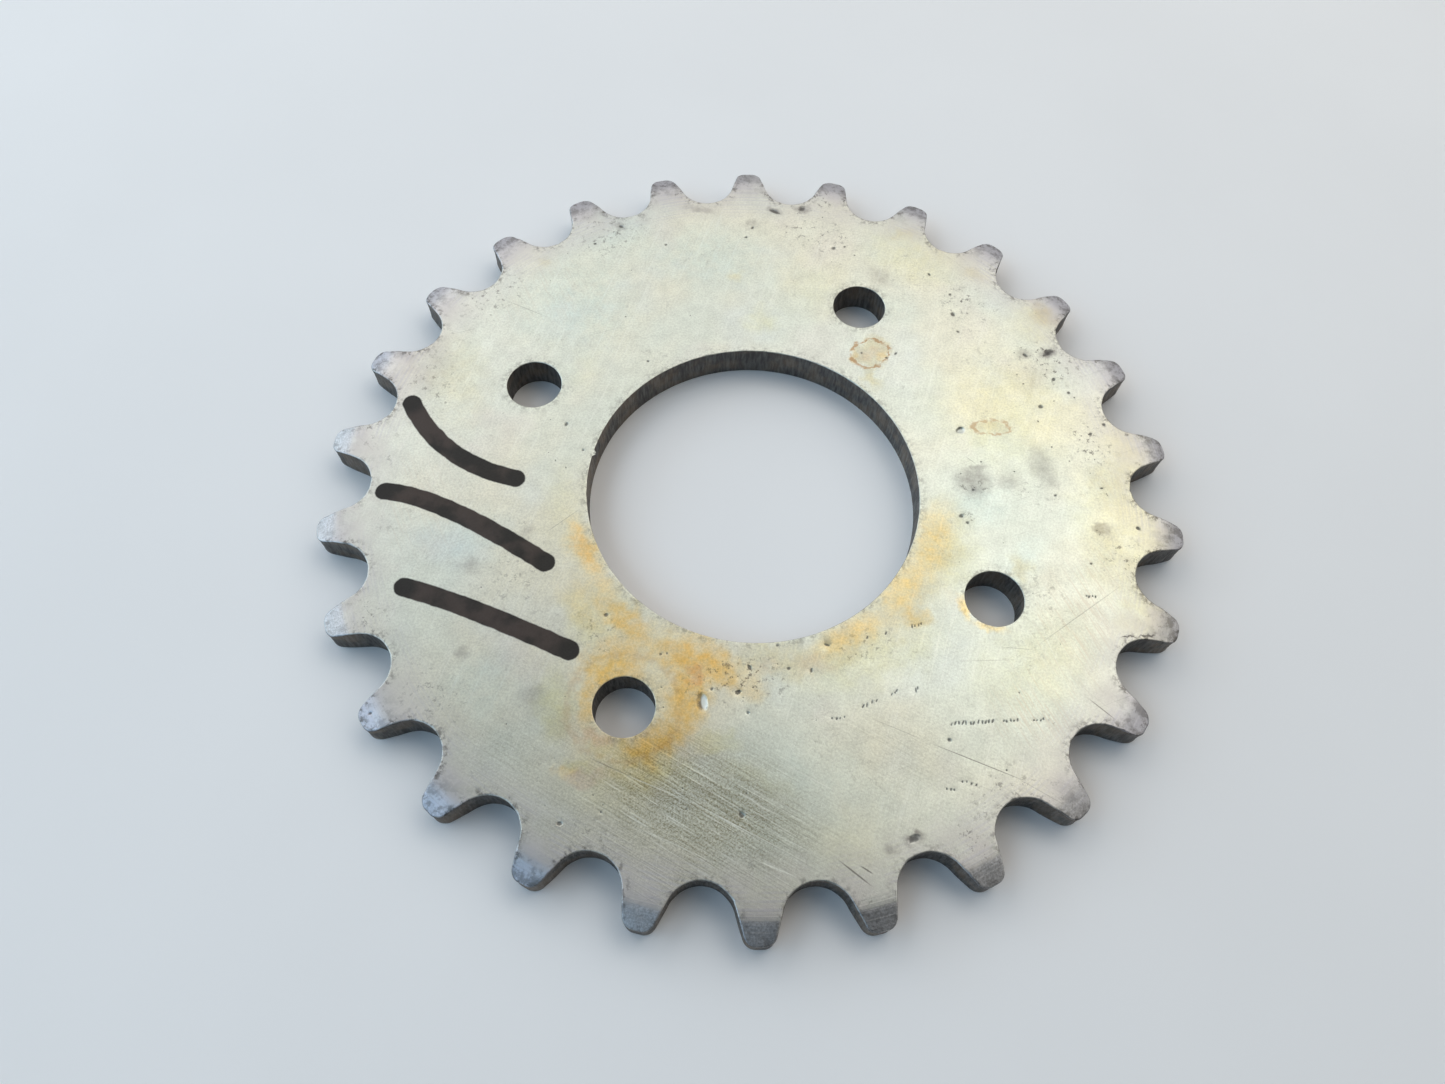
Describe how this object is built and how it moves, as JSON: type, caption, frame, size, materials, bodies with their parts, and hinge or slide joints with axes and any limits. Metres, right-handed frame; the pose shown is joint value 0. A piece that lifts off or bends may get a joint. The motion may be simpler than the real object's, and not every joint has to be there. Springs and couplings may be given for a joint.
{
  "type": "rear sprocket",
  "caption": "Flat toothed steel ring for a roller chain, with a large central bore and bolt holes that fasten it to a rear wheel hub.",
  "frame": {"origin": "centre of the bore, on the back face that lies against the hub", "axes": "+Z along the bore's axis, from the hub outwards; +X through the middle of a tooth and of a bolt hole; +Y through the middle of a tooth gap and of the next bolt hole"},
  "size_m": [0.11, 0.1092, 0.0045],
  "materials": {
    "zinc_plated_steel": "zinc plated and passivated, satin, with stains, scratches and dark worn tooth tips"
  },
  "bodies": {
    "root": {"sprocket_plate": "zinc_plated_steel"}
  },
  "joints": []
}
